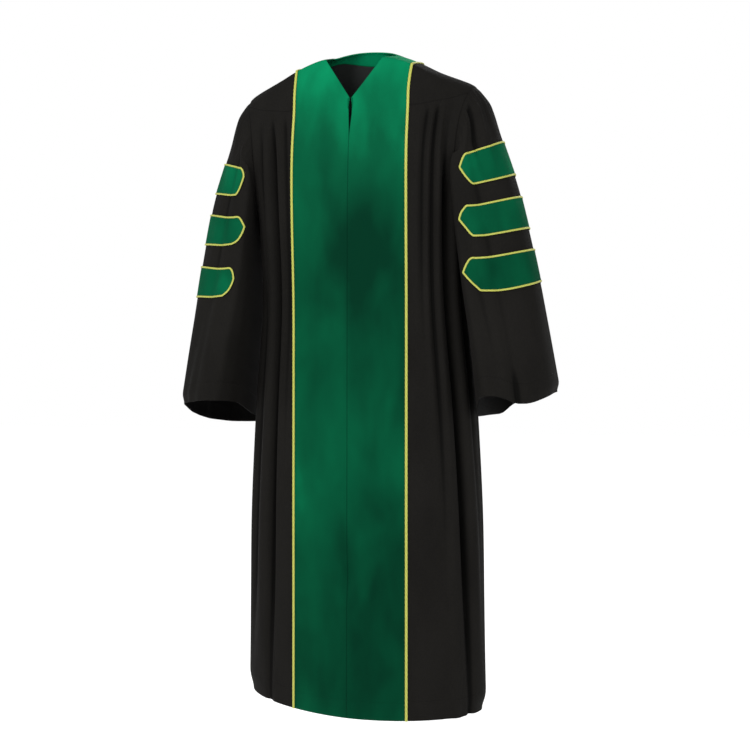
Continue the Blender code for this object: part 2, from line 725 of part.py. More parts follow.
def buildGown():
    grids, closed = {}, {}
    for side in ("left", "right"):
        grids["velvet_" + side] = velvetGrid(side)
        grids["front_" + side] = panelGrid(side, True)
        grids["sleeve_" + side] = sleeveGrid(side)
    backLeft = panelGrid("left", False)
    backRight = panelGrid("right", False)
    grids["back"] = np.concatenate([flipped(backRight), backLeft[:, 1:]], axis=1)
    yokeLeft = yokeGrid("left", grids["front_left"][0], backLeft[0])
    yokeRight = yokeGrid("right", grids["front_right"][0], backRight[0])
    grids["yoke"] = np.concatenate([yokeRight, yokeLeft[-2::-1]])
    grids["neck_band"] = bandGrid()
    grids = {name: settle(points) for name, points in grids.items()}
    for name in grids:
        closed[name] = name.startswith("sleeve")

    normals = {name: gridNormals(points, closed[name]) for name, points in grids.items()}
    for name, points in grids.items():
        if name.startswith("sleeve"):
            centre = points.mean(axis=1, keepdims=True)
        else:
            centre = np.zeros_like(points)
            centre[..., 2] = np.minimum(points[..., 2], -0.30)
        if (normals[name] * (points - centre)).sum() < 0:
            normals[name] *= -1
    meetNormals(grids, normals, closed)

    grids["sleeve_left"][..., 0] += SLEEVE_CLEAR
    grids["sleeve_right"][..., 0] -= SLEEVE_CLEAR

    seams = {
        "velvet": ("top", "last"),
        "front": ("top", "first", "last"),
        "back": ("top", "first", "last"),
        "yoke": ("top", "bottom", "first", "last"),
        "neck_band": ("top", "bottom", "last"),
        "sleeve": ("top",),
    }
    walls = {"velvet": VELVET_WALL, "neck_band": VELVET_WALL}
    for name, points in grids.items():
        kind = name if name in seams else name.rsplit("_", 1)[0]
        slot = "green_velvet" if kind in walls else "black_cloth"
        trimmed = trim(points, seams[kind])
        if kind == "front":
            trimmed[0] += unit(points[1] - points[0]) * SEAM_TRIM
        addWall(name, trimmed, normals[name], -walls.get(kind, BLACK_WALL), 0.0, slot,
                closed[name], sleeveSplit if closed[name] else None)

    cordLift = LAY_GAP + CORD_HALF_HEIGHT
    for side in ("left", "right"):
        velvet = grids["velvet_" + side]
        line = velvet[:, -1].copy()
        line[0] += unit(line[1] - line[0]) * SEAM_TRIM
        addCord("piping_" + side, line, normals["velvet_" + side][:, -1],
                CORD_HALF_WIDTH, CORD_HALF_HEIGHT, cordLift, CORD_SIDES, "gold_cord")
    line = grids["neck_band"][:, -1].copy()
    line[0] += unit(line[1] - line[0]) * CORD_END_TRIM
    line[-1] += unit(line[-2] - line[-1]) * CORD_END_TRIM
    addCord("piping_neck", line, normals["neck_band"][:, -1],
            CORD_HALF_WIDTH, CORD_HALF_HEIGHT, cordLift, CORD_SIDES, "gold_cord")

    for side in ("left", "right"):
        points = grids["sleeve_" + side].reshape(-1, 3)
        directions = normals["sleeve_" + side].reshape(-1, 3)
        for number in (1, 2, 3):
            triangles, outline = barPatch(side, number)
            addPatch(f"bar_{side}_{number}", points, directions, triangles,
                     LAY_GAP, LAY_GAP + BAR_WALL, "green_velvet")
            lift = LAY_GAP + BAR_WALL + LAY_GAP + BAR_CORD_HALF_HEIGHT
            addCord(f"bar_piping_{side}_{number}", points[outline], directions[outline],
                    BAR_CORD_HALF_WIDTH, BAR_CORD_HALF_HEIGHT, lift, BAR_CORD_SIDES, "gold_cord", closed=True)

    left, right = grids["velvet_left"], grids["velvet_right"]
    leftNormals, rightNormals = normals["velvet_left"], normals["velvet_right"]
    keep = [i for i in range(len(left)) if TAPE_BOTTOM < left[i, 0, 2] < TAPE_TOP]
    tape, tapeNormals = [], []
    for i in keep:
        middle = (left[i, 0] + right[i, 0]) / 2
        tape.append([right[i, 1], middle, left[i, 1]])
        tapeNormals.append([rightNormals[i, 1], unit(leftNormals[i, 0] + rightNormals[i, 0]), leftNormals[i, 1]])
    low = -VELVET_WALL - LAY_GAP
    addWall("closure_tape", np.array(tape), np.array(tapeNormals), low - TAPE_WALL, low, "black_tape")


for old in list(bpy.data.objects):
    bpy.data.objects.remove(old)
buildGown()
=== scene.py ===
from math import cos, pi, radians, sin

import bpy
import numpy as np
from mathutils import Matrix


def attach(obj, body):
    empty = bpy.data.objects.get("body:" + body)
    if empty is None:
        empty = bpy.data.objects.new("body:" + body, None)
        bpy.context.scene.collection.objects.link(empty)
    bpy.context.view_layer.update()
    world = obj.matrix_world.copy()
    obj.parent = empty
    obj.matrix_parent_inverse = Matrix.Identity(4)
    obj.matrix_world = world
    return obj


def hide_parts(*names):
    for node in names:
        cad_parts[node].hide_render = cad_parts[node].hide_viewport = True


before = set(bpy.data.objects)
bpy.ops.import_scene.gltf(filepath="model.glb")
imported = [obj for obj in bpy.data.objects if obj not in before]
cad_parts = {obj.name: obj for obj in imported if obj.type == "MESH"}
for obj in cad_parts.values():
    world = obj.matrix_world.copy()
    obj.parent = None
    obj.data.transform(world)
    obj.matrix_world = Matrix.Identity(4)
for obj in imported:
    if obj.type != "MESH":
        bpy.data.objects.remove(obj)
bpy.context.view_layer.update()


# Helpers for curves and grids of points

def spline(keys, values, at):
    keys, values = np.asarray(keys, float), np.asarray(values, float)
    if keys[0] > keys[-1]:
        keys, values = keys[::-1], values[::-1]
    count = len(keys)
    low = np.maximum(np.arange(count) - 1, 0)
    high = np.minimum(np.arange(count) + 1, count - 1)
    slopes = (values[high] - values[low]) / (keys[high] - keys[low])
    place = np.clip(np.searchsorted(keys, at) - 1, 0, count - 2)
    span = keys[place + 1] - keys[place]
    t = np.clip((at - keys[place]) / span, 0, 1)
    return ((2 * t ** 3 - 3 * t ** 2 + 1) * values[place] + (t ** 3 - 2 * t ** 2 + t) * span * slopes[place]
            + (3 * t ** 2 - 2 * t ** 3) * values[place + 1] + (t ** 3 - t ** 2) * span * slopes[place + 1])


def ease(low, high, value):
    t = np.clip((np.asarray(value, float) - low) / (high - low), 0, 1)
    return t * t * (3 - 2 * t)


def unit(vectors):
    return vectors / np.maximum(np.linalg.norm(vectors, axis=-1, keepdims=True), 1e-12)


def stack(x, y, z):
    return np.stack(np.broadcast_arrays(x, y, z), axis=-1).astype(float)


def gridNormals(points, closed):
    down = np.gradient(points, axis=0)
    if closed:
        across = np.roll(points, -1, axis=1) - np.roll(points, 1, axis=1)
    else:
        across = np.gradient(points, axis=1)
    return unit(np.cross(down, across))


def rowLengths(points):
    steps = np.linalg.norm(np.diff(points, axis=1), axis=-1)
    return np.concatenate([np.zeros((len(points), 1)), np.cumsum(steps, axis=1)], axis=1)


def resample(line, spacing, closed=False):  # the same line with points a fixed distance apart
    if closed:
        line = np.concatenate([line, line[:1]])
    along = np.concatenate([[0], np.cumsum(np.linalg.norm(np.diff(line[:, :3], axis=0), axis=1))])
    count = max(int(round(along[-1] / spacing)), 8)
    at = np.linspace(0, along[-1], count + 1)
    if closed:
        at = at[:-1]
    return np.stack([np.interp(at, along, line[:, k]) for k in range(line.shape[1])], axis=1)


# The body's form: rings from the yoke seam to the hem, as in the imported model

gownBody = {
    "side": (-0.1, -0.2, -0.33, -0.5, -0.7, -0.9, -1.1, -1.304),
    "front": (-0.132, -0.215, -0.33, -0.5, -0.7, -0.9, -1.1, -1.313),
    "back": (-0.14, -0.218, -0.33, -0.5, -0.7, -0.9, -1.1, -1.308),
    "width": (0.229, 0.218, 0.2135, 0.214, 0.229, 0.24, 0.246, 0.2515),
    "fore": (0.1, 0.113, 0.118, 0.119, 0.12, 0.121, 0.122, 0.124),
    "aft": (0.098, 0.112, 0.118, 0.12, 0.122, 0.124, 0.127, 0.13),
    "square": (2.7, 2.9, 2.6, 2.3, 2.1, 2, 1.9, 1.8),
    "armpitRing": 2,
    "velvetHalfWidth": 0.1155,
    "velvetShoulderWidth": 0.121,
    "shoulderRise": 0.005,  # the wearer's right shoulder sits higher and wider
    "shoulderShift": 0.010,
    "hemTilt": 0.006,
    "hemTuck": 0.009,  # how far the side corners of the hem turn in, and from which depth on
    "hemTuckFrom": 1.255,
    "foldFade": 9,  # degrees from a side edge within which folds fade out
}

# Folds: side, place round the ring at the top and at the hem in degrees, width at the top and
# at the hem in degrees, depth in metres (negative is a trough), heights where it starts, is
# full, starts to fade and has faded.
frontFolds = (
    ("left", 60, 67, 2, 3, -0.016, -0.108, -0.24, -0.95, -1.29),
    ("left", 60, 67, 1.8, 2.6, -0.007, -0.108, -0.24, 0, 0),
    ("left", 54, 55.5, 2, 3.6, 0.0045, -0.106, -0.17, 0, 0),
    ("left", 49.5, 51, 1.4, 3, -0.0062, -0.108, -0.15, -0.5, -1.05),
    ("left", 46, 47, 1.8, 3.4, 0.0028, -0.108, -0.16, -0.55, -1.1),
    ("left", 43, 44, 1.4, 3, -0.004, -0.108, -0.15, -0.3, -0.75),
    ("left", 39, 41, 1.6, 3, 0.0016, -0.112, -0.17, -0.28, -0.6),
    ("left", 67, 77, 2.6, 6, 0.007, -0.106, -0.26, -1, -1.3),
    ("left", 74, 86, 2.2, 3.5, -0.004, -0.11, -0.24, -0.6, -1.1),
    ("right", 46, 45, 2, 2.8, -0.0125, -0.108, -0.24, -0.95, -1.29),
    ("right", 46, 45, 1.8, 2.4, -0.005, -0.108, -0.24, 0, 0),
    ("right", 41, 40.5, 1.8, 3, 0.0035, -0.106, -0.17, -0.7, -1.15),
    ("right", 36.5, 36.5, 1.5, 2.4, -0.0036, -0.11, -0.16, -0.42, -0.9),
    ("right", 52, 55, 2.4, 6, 0.006, -0.106, -0.22, -1, -1.3),
    ("right", 57.5, 60, 1.8, 3, -0.0048, -0.108, -0.19, -0.5, -1),
    ("right", 67, 66, 4, 5, -0.0085, -0.24, -0.6, -0.95, -1.28),
    ("right", 79, 79, 4, 6, 0.004, -0.36, -0.7, -0.9, -1.3),
)
backFolds = (
    ("both", 180, 180, 2.6, 5, -0.0075, -0.142, -0.3, 0, 0),
    ("both", 174.5, 175, 2, 3, 0.003, -0.142, -0.22, -0.7, -1.2),
    ("both", 169, 170, 2.6, 5, 0.006, -0.142, -0.3, 0, 0),
    ("left", 163, 164.5, 1.6, 3, -0.0038, -0.142, -0.2, -0.6, -1.1),
    ("both", 157, 159, 2.8, 5, -0.0095, -0.142, -0.3, 0, 0),
    ("right", 151, 153, 1.8, 3, -0.0034, -0.14, -0.21, -0.5, -0.95),
    ("both", 145, 147, 3, 5.5, 0.0062, -0.14, -0.32, 0, 0),
    ("left", 139, 140.5, 1.8, 3, -0.0036, -0.138, -0.2, -0.75, -1.25),
    ("both", 133, 134, 3, 5.5, -0.0105, -0.136, -0.32, 0, 0),
    ("right", 127, 127, 1.8, 3.2, -0.0036, -0.134, -0.22, -0.6, -1.1),
    ("both", 120, 120, 4, 5.5, 0.006, -0.2, -0.45, -1, -1.3),
    ("both", 107, 106, 4, 5, -0.007, -0.34, -0.6, -0.95, -1.26),
    ("both", 98, 97, 3, 4, 0.0035, -0.38, -0.7, -0.9, -1.26),
)


def foldPush(folds, side, turn, height, hemHeight):
    push = np.zeros(np.broadcast(turn, height).shape)
    for which, top, hem, widthTop, widthHem, depth, start, full, fade, gone in folds:
        if which not in (side, "both"):
            continue
        down = np.clip((height - start) / (hemHeight - start), 0, 1)
        strength = ease(start, full, height)
        if gone:
            strength = strength * (1 - ease(fade, gone, height))
        centre = top + (hem - top) * down
        width = widthTop + (widthHem - widthTop) * np.sqrt(down)
        push = push + depth * strength * np.exp(-((turn - centre) / width) ** 2)
    return push


def ringValue(v, column):
    return spline(-np.arange(float(len(gownBody[column]))), gownBody[column], -np.asarray(v, float))


def bodyPoint(side, turn, v, edge=None):  # turn is 0 at centre front and 180 at centre back
    turn, v = np.broadcast_arrays(np.asarray(turn, float), np.asarray(v, float))
    s, c = np.sin(np.radians(turn)), np.cos(np.radians(turn))
    n = ringValue(v, "square")
    width = ringValue(v, "width")
    front = c >= 0
    depth = np.where(front, ringValue(v, "fore"), ringValue(v, "aft"))
    y = depth * np.maximum(1 - np.abs(s) ** n, 0) ** (1 / n) * np.where(front, -1, 1)
    level = ringValue(v, "side")
    z = level + (np.where(front, ringValue(v, "front"), ringValue(v, "back")) - level) * c * c
    hem = gownBody["side"][-1]
    inFront, behind = (foldPush(folds, side, turn, z, hem) for folds in (frontFolds, backFolds))
    push = np.where(turn <= 90, inFront, behind)
    if edge is not None:
        push = push * ease(0, gownBody["foldFade"], np.abs(turn - edge))
    push = push - gownBody["hemTuck"] * ease(gownBody["hemTuckFrom"], -hem, -level) ** 2 * s ** 6
    out = unit(stack(s * depth, -c * width, 0 * s))
    x = width * s + push * out[..., 0]
    y = y + push * out[..., 1]
    return stack(x if side == "left" else -x, y, z)


def pipingTurn(v):
    return np.degrees(np.arcsin(gownBody["velvetHalfWidth"] / ringValue(v, "width")))


def settle(points):  # lifts and widens the wearer's right shoulder and tilts the hem
    moved = points.copy()
    x, z = points[..., 0], points[..., 2]
    moved[..., 2] += gownBody["shoulderRise"] * (1 - ease(0.08, 0.22, -z)) * ease(-0.03, 0.07, -x)
    moved[..., 2] -= gownBody["hemTilt"] * ease(0.95, 1.30, -z) * x / 0.25
    moved[..., 0] -= gownBody["shoulderShift"] * (1 - ease(0.25, 0.55, -z)) * ease(0.06, 0.20, -x)
    return moved


# The yoke's form, between the neck edge and the yoke seam

gownYoke = {
    "neckV": (0, -0.0985, -0.104),
    "neckCorner": (0.059, -0.0765, -0.02),
    "neckCornerTurn": 60.0,
    "neckSide": (0.067, 0, 0.003),
    "neckAft": 0.058,
    "neckBackHeight": 0.030,
    "archSide": 1.25,
    "archFront": 2.1,
    "archBack": 1.45,
    "bandWidth": 0.030,
}


def neckPoint(turn):
    turn = np.asarray(turn, float)[..., None]
    low, corner, beside = (np.array(gownYoke[name]) for name in ("neckV", "neckCorner", "neckSide"))
    edge = gownYoke["neckCornerTurn"]
    straight = low + (corner - low) * turn / edge
    part = np.clip((turn - edge) / (90 - edge), 0, 1)
    rounded = corner + (beside - corner) * np.concatenate([1 - (1 - part) ** 2, part, part], axis=-1)
    s, c = np.abs(np.sin(np.radians(turn))), np.abs(np.cos(np.radians(turn)))
    behind = np.concatenate([beside[0] * s ** 0.95, gownYoke["neckAft"] * c ** 0.95,
                             beside[2] + (gownYoke["neckBackHeight"] - beside[2]) * c ** 1.3], axis=-1)
    return np.where(turn <= edge, straight, np.where(turn <= 90, rounded, behind))


def yokePoint(side, turn, w):
    turn, w = np.broadcast_arrays(np.asarray(turn, float), np.asarray(w, float))
    c = np.cos(np.radians(turn))
    inner, outer = neckPoint(turn), bodyPoint("left", turn, 0 * turn)
    far = np.where(c >= 0, gownYoke["archFront"], gownYoke["archBack"])
    arch = gownYoke["archSide"] + (far - gownYoke["archSide"]) * c * c
    across = np.abs(np.sin(w * pi / 2)) ** (2 / arch)
    drop = 1 - np.abs(np.cos(w * pi / 2)) ** (2 / arch)
    point = inner + (outer - inner) * stack(across, across, drop)
    if side == "right":
        point[..., 0] *= -1
    return point


def halve(low, high, goesUp):  # finds where a rising test turns false, for a whole array at once
    low, high = np.array(low, float), np.array(high, float)
    for _ in range(34):
        middle = (low + high) / 2
        rise = goesUp(middle)
        low, high = np.where(rise, middle, low), np.where(rise, high, middle)
    return (low + high) / 2


def shoulderLine(steps):  # the velvet's outer edge from the front seam to the shoulder's crest
    part = np.linspace(0, 1, steps + 1)
    start = pipingTurn(0.0)
    turn = start + (90 - start) * part ** 0.85
    low, high = gownBody["velvetHalfWidth"], gownBody["velvetShoulderWidth"]
    reach = low + part * (high - low)
    w = halve(0 * part, 0 * part + 1, lambda middle: yokePoint("left", turn, middle)[..., 0] < reach)
    w[0] = 1.0
    return turn, w


def bandLine(steps):  # the neck band's lower edge from the crest round to centre back
    crest = shoulderLine(6)[1][-1]
    part = np.linspace(0, 1, steps + 1)[1:]
    turn = 90 + 90 * part
    inner = yokePoint("left", turn, 0 * turn)

    def near(middle):
        return np.linalg.norm(yokePoint("left", turn, middle) - inner, axis=-1) < gownYoke["bandWidth"]

    narrow = halve(0 * part, 0 * part + 1, near)
    return turn, narrow + (crest - narrow) * (1 - ease(0, 0.62, part))


# The sleeves' form: rings keyed by the height of the outer edge

gownSleeve = {
    "outer": (-0.076, -0.11, -0.19, -0.3, -0.43, -0.55, -0.668),
    "outerX": (0.233, 0.257, 0.281, 0.311, 0.341, 0.365, 0.387),
    "inner": (-0.33, -0.345, -0.385, -0.44, -0.515, -0.6, -0.732),
    "innerX": (0.214, 0.2158, 0.219, 0.2225, 0.228, 0.236, 0.246),
    "front": (-0.205, -0.2155, -0.2285, -0.328, -0.453, -0.567, -0.686),
    "back": (-0.205, -0.218, -0.234, -0.334, -0.462, -0.582, -0.708),
    "fore": (0.076, 0.086, 0.094, 0.102, 0.11, 0.12, 0.13),
    "aft": (0.08, 0.088, 0.098, 0.108, 0.118, 0.13, 0.145),
    "inset": (0.018, 0.022, 0.029, 0.03, 0.027, 0.022, 0.018),
    "square": 2.3,
    "hang": {"left": (0.010, 0.000, 1.6), "right": (0.006, 0.048, 1.3)},  # spread, drop, forward
    "gatherDepth": 0.0012,
    "gatherCount": 46,
    "capPuff": 0.0012,
    "cuffTurns": (-180, -150, -130, -118, -105, -90, -60, -30, -15, 0, 15, 30, 45, 60, 75, 90, 120, 150,
                  180),
    "cuffHeights": {  # where the cuff's hem hangs, round the sleeve
        "left": (-0.727, -0.727, -0.726, -0.712, -0.701, -0.700, -0.688, -0.680, -0.679, -0.679, -0.681,
                 -0.689, -0.698, -0.702, -0.693, -0.684, -0.690, -0.726, -0.727),
        "right": (-0.728, -0.747, -0.748, -0.749, -0.749, -0.750, -0.750, -0.743, -0.738, -0.727, -0.710,
                  -0.704, -0.702, -0.701, -0.698, -0.697, -0.698, -0.702, -0.728),
    },
    "cuffFrom": 0.40,  # from here down the hem's heights take over
    "cuffTuck": 0.007,  # how far the cuff's outer corner turns in, and from where
    "cuffTuckFrom": 0.640,
    "firstRing": -0.076,
    "lastRing": -0.668,
}
sleeveFolds = (
    ("both", 62, 64, 5, 10, -0.0055, -0.084, -0.22, 0, 0),
    ("left", 66, 67, 5, 6, 0.004, -0.08, -0.11, -0.18, -0.28),
    ("left", 49, 50, 4.5, 6, -0.01, -0.08, -0.105, -0.17, -0.3),
    ("left", 36, 36, 4, 5, 0.0035, -0.08, -0.11, -0.17, -0.28),
    ("left", 22, 22, 3, 5, -0.003, -0.08, -0.105, -0.14, -0.2),
    ("right", 72, 76, 4, 6, 0.0035, -0.082, -0.11, -0.13, -0.19),
    ("right", 50, 50, 3, 5, -0.0035, -0.08, -0.11, -0.13, -0.2),
    ("both", 24, 24, 8, 12, 0.003, -0.12, -0.3, 0, 0),
    ("both", -18, -20, 7, 9, -0.005, -0.09, -0.32, 0, 0),
    ("both", -62, -60, 8, 10, 0.004, -0.1, -0.3, 0, 0),
    ("both", 108, 104, 8, 10, 0.0035, -0.15, -0.35, 0, 0),
    ("left", 88, 82, 6, 10, -0.006, -0.3, -0.48, 0, 0),
    ("left", 60, 61, 5, 6, -0.01, -0.59, -0.66, 0, 0),
    ("right", 60, 40, 8, 12, -0.006, -0.34, -0.56, 0, 0),
    ("right", -30, -28, 7, 9, 0.0045, -0.45, -0.62, 0, 0),
    ("both", -112, -108, 8, 10, -0.005, -0.15, -0.35, 0, 0),
    ("both", -88, -84, 6, 8, -0.0045, -0.32, -0.52, 0, 0),
)


def sleeveHeight(side, across, front, outer, value):
    level = np.where(front, value["front"], value["back"])
    below = ease(0.08, 0.19, -outer)
    upper = outer + (level - outer) * (1 - np.maximum(across, 0) ** (1 + below))
    lower = level + (value["inner"] - level) * np.abs(across) ** (1.25 + 0.35 * below)
    z = np.where(across >= 0, upper, lower)
    share = np.where(front, 0.3 + 0.7 * np.maximum(across, 0), 0.7 + 0.3 * np.maximum(across, 0))
    return z - gownSleeve["hang"][side][1] * share * ease(0.42, 0.70, -z)


def sleeveRing(turn, outer):
    value = {name: spline(gownSleeve["outer"], gownSleeve[name], outer)
             for name in ("outerX", "inner", "innerX", "front", "back", "fore", "aft", "inset")}
    s, c = np.sin(np.radians(turn)), np.cos(np.radians(turn))
    return value, s, c, np.sign(c) * np.abs(c) ** (2 / gownSleeve["square"]), s >= 0


def cuffHem(side, turn):  # the table's heights, with the corners between them rounded
    hem = 0
    for step, weight in ((-8, 0.25), (0, 0.5), (8, 0.25)):
        hem = hem + weight * np.interp((turn + step + 180) % 360 - 180, gownSleeve["cuffTurns"],
                                       gownSleeve["cuffHeights"][side])
    return hem


def sleevePoint(side, turn, outer):  # turn is 0 outside, 90 in front, 180 inside, -90 behind
    turn, outer = np.broadcast_arrays(np.asarray(turn, float), np.asarray(outer, float))
    value, s, c, across, front = sleeveRing(turn, outer)
    along = np.abs(s) ** (2 / gownSleeve["square"])
    spread, _, forward = gownSleeve["hang"][side]
    outerX = value["outerX"] + spread * ease(0.08, 0.30, -outer)
    middleX, halfX = (outerX + value["innerX"]) / 2, (outerX - value["innerX"]) / 2
    inset = value["inset"] * np.where(front, 1 + (forward - 1) * ease(0.08, 0.19, -outer), 0.55)
    x = middleX + halfX * across - inset * s * s
    y = np.where(front, -value["fore"], value["aft"]) * along
    last = 0 * outer + gownSleeve["lastRing"]
    plainHem = sleeveHeight(side, across, front, last, sleeveRing(turn, last)[0])
    z = sleeveHeight(side, across, front, outer, value)
    z = z + (cuffHem(side, turn) - plainHem) * ease(gownSleeve["cuffFrom"], -last, -outer)
    push = foldPush(sleeveFolds, side, turn, outer, gownSleeve["lastRing"])
    tuck = gownSleeve["cuffTuck"] * ease(gownSleeve["cuffTuckFrom"], -last, -outer) ** 2
    push = push - tuck * (0.1 + 0.9 * np.maximum(c, 0))
    top = 1 - ease(60, 105, np.abs(turn))  # only the cap over the shoulder is gathered
    head = ease(0.0765, 0.084, -outer) * (1 - ease(0.10, 0.17, -outer)) * top
    wave = np.sin(np.radians(turn) * gownSleeve["gatherCount"] + 1.3 * np.sin(np.radians(turn) * 7))
    push = push + head * (gownSleeve["capPuff"] + gownSleeve["gatherDepth"] * wave)
    out = unit(stack(c, -s, 0 * s))
    x, y = x + push * out[..., 0], y + push * out[..., 1]
    return stack(x if side == "left" else -x, y, z)


# The panels' grids

panelRows = {"armhole": 44, "below": 150, "frontColumns": 84, "halfBackColumns": 70, "velvetColumns": 34,
             "shoulderRows": 34, "sliverRows": 8, "yokeArmRows": 44, "yokeBackRows": 60,
             "sleeveColumns": 150, "sleeveRows": 150}
armholeStart = 35  # the sleeve's turn at the yoke seam, in front and behind
panelSplit = {  # columns are even up to a turn, and from a bend on they lean towards the armhole
    True: {"share": 6 / 9, "bend": 5 / 9, "turn": 60, "columns": panelRows["frontColumns"]},
    False: {"share": 10 / 14, "bend": 9 / 14, "turn": 118, "columns": panelRows["halfBackColumns"]},
}


def armholeRows(front):  # for each armhole turn, the ring and the body's turn where the panel ends
    turns = np.linspace(armholeStart, 180, panelRows["armhole"] + 1)
    point = sleevePoint("left", turns if front else -turns, gownSleeve["firstRing"])
    v = 0 * turns
    for _ in range(12):
        n = ringValue(v, "square")
        depth = ringValue(v, "fore" if front else "aft")
        ratio = np.minimum(np.abs(point[:, 1]) / depth, 0.999)
        bodyTurn = np.degrees(np.arcsin(np.minimum(np.maximum(1 - ratio ** n, 0) ** (1 / n), 1)))
        v = halve(0 * turns, 0 * turns + gownBody["armpitRing"],
                  lambda middle: bodyPoint("left", bodyTurn, middle)[..., 2] > point[:, 2])
        v[0] = 0
    v[-1], bodyTurn[-1] = gownBody["armpitRing"], 90
    return turns, v, bodyTurn if front else 180 - bodyTurn


def bodyRows():
    return np.linspace(gownBody["armpitRing"], len(gownBody["side"]) - 1, panelRows["below"] + 1)[1:]


def panelTurns(start, fixedEnd, end, fixedShare, columns):  # even steps, then squeezed to the side edge
    part = np.linspace(0, 1, columns + 1)[None]
    start, fixedEnd, end = (np.asarray(value, float).reshape(-1, 1) for value in (start, fixedEnd, end))
    first = start + (fixedEnd - start) * part / fixedShare
    rest = fixedEnd + (end - fixedEnd) * (part - fixedShare) / (1 - fixedShare)
    return np.where(part <= fixedShare, first, rest)


def panelGrid(side, front):
    armTurns, v, end = armholeRows(front)
    split = panelSplit[front]
    fixed, share, columns = split["turn"], split["share"], split["columns"]
    start = pipingTurn(v) if front else 0 * v + 180
    fixedEnd = np.minimum(fixed, end - 2) if front else np.maximum(fixed, end + 2)
    turns = panelTurns(start, fixedEnd, end, share, columns)
    upper = bodyPoint(side, turns, v[:, None], end[:, None])
    target = sleevePoint(side, armTurns if front else -armTurns, gownSleeve["firstRing"])
    reach = ease(split["bend"], 1, np.linspace(0, 1, columns + 1))[None, :, None]
    upper = upper + (target - upper[:, -1])[:, None] * reach
    rows = bodyRows()
    start = pipingTurn(rows) if front else 0 * rows + 180
    turns = panelTurns(start, 0 * rows + fixed, 0 * rows + 90, share, columns)
    return np.concatenate([upper, bodyPoint(side, turns, rows[:, None])])


def yokeGrid(side, frontTop, backTop):
    armRows, backRows = panelRows["yokeArmRows"], panelRows["yokeBackRows"]
    armTurns = np.linspace(armholeStart, -armholeStart, armRows + 1)
    seamColumns = np.linspace(1, 0, backRows + 1)[1:]
    sample = np.linspace(0, 1, len(backTop))
    seam = np.stack([np.interp(seamColumns, sample, backTop[:, k]) for k in range(3)], axis=1)
    outer = np.concatenate([sleevePoint(side, armTurns, gownSleeve["firstRing"]), seam])
    frontEnd, backEnd = armholeRows(True)[2][0], armholeRows(False)[2][0]
    split = panelSplit[False]
    fixedEnd = max(split["turn"], backEnd + 2)
    seamTurns = panelTurns([180.0], [fixedEnd], [backEnd], split["share"], split["columns"])[0]
    outerTurns = np.concatenate([np.linspace(frontEnd, backEnd, armRows + 1),
                                 np.interp(seamColumns, np.linspace(0, 1, len(seamTurns)), seamTurns)])
    innerTurn, innerW = yokeEdge()
    part = np.linspace(0, 1, len(frontTop))
    turn = innerTurn[:, None] + (outerTurns - innerTurn)[:, None] * part
    grid = yokePoint(side, turn, innerW[:, None] + (1 - innerW)[:, None] * part)
    grid = grid + (outer - grid[:, -1])[:, None] * ease(0.15, 1, part)[None, :, None]
    grid = grid + (frontTop - grid[0])[None] * (1 - ease(0, 3, np.arange(len(grid))))[:, None, None]
    return grid


def yokeEdge():  # turn and w of the yoke's rows on its inner edge, from the front seam to centre back
    half = panelRows["yokeArmRows"] // 2
    rest = panelRows["yokeArmRows"] - half + panelRows["yokeBackRows"]
    first = np.linspace(0, 1, half + 1)
    second = np.linspace(0, 1, rest + 1)[1:]
    edge = []
    for crest, behind in zip(shoulderLine(30), bandLine(40)):
        behind = np.append(crest[-1], behind)
        edge.append(np.concatenate([np.interp(first, np.linspace(0, 1, len(crest)), crest),
                                    np.interp(second, np.linspace(0, 1, len(behind)), behind)]))
    return edge


def bandGrid():
    turn, w = yokeEdge()
    keep = panelRows["yokeArmRows"] // 2
    part = np.linspace(0, 1, 14)
    left = yokePoint("left", turn[keep:, None] + 0 * part, w[keep:, None] * part)
    right = left * np.array([-1.0, 1.0, 1.0])
    return np.concatenate([right, left[-2::-1]])


velvetPanel = {
    "slitGap": 0.0042,  # half of the opening below the V
    "slitLength": 0.085,
    "seamGap": 0.0001,
    "dimple": {"depth": 0.006, "width": 0.010, "height": -1.035, "length": 0.040},
}


def frontGap(height):  # half of the gap between the two fronts
    below = gownYoke["neckV"][2] - height
    slit = velvetPanel["slitGap"] * (1 - ease(0, 1, below / velvetPanel["slitLength"]))
    return np.maximum(slit, velvetPanel["seamGap"])


def velvetGrid(side):
    part = np.linspace(0, 1, panelRows["velvetColumns"] + 1)
    turnOut, wOut = (line[::-1] for line in shoulderLine(panelRows["shoulderRows"]))
    last = len(turnOut) - 1
    turnIn = 90 * (1 - (np.arange(last) / (last - 1)) ** 0.9)
    turn = turnIn[:, None] + (turnOut[:last] - turnIn)[:, None] * part
    shoulder = yokePoint(side, turn, wOut[:last, None] * part)
    sliver = np.linspace(0, 1, panelRows["sliverRows"] + 1)[1:-1, None]
    middle = yokePoint(side, pipingTurn(0.0) * part + 0 * sliver, sliver + (1 - sliver) * part)
    rings = np.concatenate([armholeRows(True)[1], bodyRows()])
    lower = bodyPoint(side, pipingTurn(rings)[:, None] * part, rings[:, None])
    points = np.concatenate([shoulder, middle, lower])
    sign = 1 if side == "left" else -1
    points[last - 1:, 0, 0] += sign * frontGap(points[last - 1:, 0, 2])
    dimple = velvetPanel["dimple"]
    across = points[..., 0] / dimple["width"]
    along = (points[..., 2] - dimple["height"]) / dimple["length"]
    points[..., 1] += dimple["depth"] * np.exp(-across ** 2 - along ** 2)
    return points


def sleeveGrid(side):
    turns = np.linspace(-180, 180, panelRows["sleeveColumns"] + 1)[:-1]
    part = np.linspace(0, 1, panelRows["sleeveRows"] + 1)
    outer = gownSleeve["firstRing"] + (gownSleeve["lastRing"] - gownSleeve["firstRing"]) * part ** 1.25
    return sleevePoint(side, turns[None], outer[:, None])


# Shader sums: a wrapped socket that makes its own nodes

